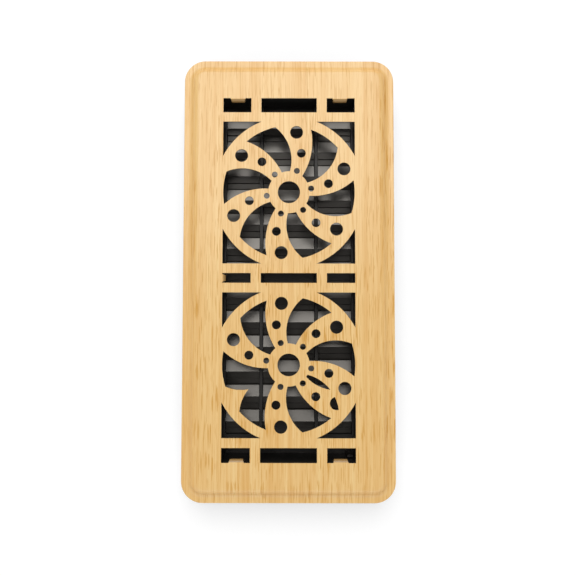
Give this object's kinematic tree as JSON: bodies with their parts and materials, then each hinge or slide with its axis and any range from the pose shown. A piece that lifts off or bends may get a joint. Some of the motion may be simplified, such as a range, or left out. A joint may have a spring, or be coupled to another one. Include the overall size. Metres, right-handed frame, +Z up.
{
  "type": "floor register",
  "caption": "Rectangular floor register: wood-grain pierced steel face plate with stepped rim over a black plastic damper box of linked tilting louvers.",
  "frame": {"origin": "middle of the face plate on the floor plane, level with the underside of the rim", "axes": "+X across the plate, +Y along it towards the end with the first louver, +Z up out of the floor"},
  "size_m": [0.1396, 0.2922, 0.029],
  "materials": {
    "face": "light oak wood-grain print on sheet steel, satin lacquer",
    "box": "black moulded plastic, fine matt grain",
    "louver": "black moulded plastic, satin",
    "linkage": "black moulded plastic, satin"
  },
  "bodies": {
    "frame": {"face_plate": "face", "damper_box": "box"},
    "louver_01": {"louver_01": "louver", "crank_01": "linkage"},
    "louver_02": {"louver_02": "louver", "crank_02": "linkage"},
    "louver_03": {"louver_03": "louver", "crank_03": "linkage"},
    "louver_04": {"louver_04": "louver", "crank_04": "linkage"},
    "louver_05": {"louver_05": "louver", "crank_05": "linkage"},
    "louver_06": {"louver_06": "louver", "crank_06": "linkage"},
    "louver_07": {"louver_07": "louver", "crank_07": "linkage"},
    "louver_08": {"louver_08": "louver", "crank_08": "linkage"},
    "louver_09": {"louver_09": "louver", "crank_09": "linkage"},
    "louver_10": {"louver_10": "louver", "crank_10": "linkage"},
    "louver_11": {"louver_11": "louver", "crank_11": "linkage"},
    "louver_12": {"louver_12": "louver", "crank_12": "linkage"},
    "louver_13": {"louver_13": "louver", "crank_13": "linkage"},
    "link_bar": {"link_bar": "linkage"}
  },
  "joints": [
    {"name": "louver_07_turn", "type": "hinge", "parent": "frame", "child": "louver_07", "pos_m": [0, 0.0041, -0.0114], "axis": [1, 0, 0], "range_deg": [0, 75]},
    {"name": "louver_01_turn", "type": "hinge", "parent": "frame", "child": "louver_01", "pos_m": [0, 0.10346, -0.0114], "axis": [1, 0, 0], "range_deg": [0, 75]},
    {"name": "louver_02_turn", "type": "hinge", "parent": "frame", "child": "louver_02", "pos_m": [0, 0.0869, -0.0114], "axis": [1, 0, 0], "range_deg": [0, 75]},
    {"name": "louver_03_turn", "type": "hinge", "parent": "frame", "child": "louver_03", "pos_m": [0, 0.07034, -0.0114], "axis": [1, 0, 0], "range_deg": [0, 75]},
    {"name": "louver_04_turn", "type": "hinge", "parent": "frame", "child": "louver_04", "pos_m": [0, 0.05378, -0.0114], "axis": [1, 0, 0], "range_deg": [0, 75]},
    {"name": "louver_05_turn", "type": "hinge", "parent": "frame", "child": "louver_05", "pos_m": [0, 0.03722, -0.0114], "axis": [1, 0, 0], "range_deg": [0, 75]},
    {"name": "louver_06_turn", "type": "hinge", "parent": "frame", "child": "louver_06", "pos_m": [0, 0.02066, -0.0114], "axis": [1, 0, 0], "range_deg": [0, 75]},
    {"name": "louver_08_turn", "type": "hinge", "parent": "frame", "child": "louver_08", "pos_m": [0, -0.01246, -0.0114], "axis": [1, 0, 0], "range_deg": [0, 75]},
    {"name": "louver_09_turn", "type": "hinge", "parent": "frame", "child": "louver_09", "pos_m": [0, -0.02902, -0.0114], "axis": [1, 0, 0], "range_deg": [0, 75]},
    {"name": "louver_10_turn", "type": "hinge", "parent": "frame", "child": "louver_10", "pos_m": [0, -0.04558, -0.0114], "axis": [1, 0, 0], "range_deg": [0, 75]},
    {"name": "louver_11_turn", "type": "hinge", "parent": "frame", "child": "louver_11", "pos_m": [0, -0.06214, -0.0114], "axis": [1, 0, 0], "range_deg": [0, 75]},
    {"name": "louver_12_turn", "type": "hinge", "parent": "frame", "child": "louver_12", "pos_m": [0, -0.0787, -0.0114], "axis": [1, 0, 0], "range_deg": [0, 75]},
    {"name": "louver_13_turn", "type": "hinge", "parent": "frame", "child": "louver_13", "pos_m": [0, -0.09526, -0.0114], "axis": [1, 0, 0], "range_deg": [0, 75]},
    {"name": "link_bar_swing", "type": "hinge", "parent": "louver_07", "child": "link_bar", "pos_m": [0.0481, 0.00045, -0.01616], "axis": [1, 0, 0], "range_deg": [-75, 0]}
  ],
  "couplings": [
    {"joint": "louver_01_turn", "follows": "louver_07_turn", "ratio": 1},
    {"joint": "louver_02_turn", "follows": "louver_07_turn", "ratio": 1},
    {"joint": "louver_03_turn", "follows": "louver_07_turn", "ratio": 1},
    {"joint": "louver_04_turn", "follows": "louver_07_turn", "ratio": 1},
    {"joint": "louver_05_turn", "follows": "louver_07_turn", "ratio": 1},
    {"joint": "louver_06_turn", "follows": "louver_07_turn", "ratio": 1},
    {"joint": "louver_08_turn", "follows": "louver_07_turn", "ratio": 1},
    {"joint": "louver_09_turn", "follows": "louver_07_turn", "ratio": 1},
    {"joint": "louver_10_turn", "follows": "louver_07_turn", "ratio": 1},
    {"joint": "louver_11_turn", "follows": "louver_07_turn", "ratio": 1},
    {"joint": "louver_12_turn", "follows": "louver_07_turn", "ratio": 1},
    {"joint": "louver_13_turn", "follows": "louver_07_turn", "ratio": 1},
    {"joint": "link_bar_swing", "follows": "louver_07_turn", "ratio": -1}
  ]
}
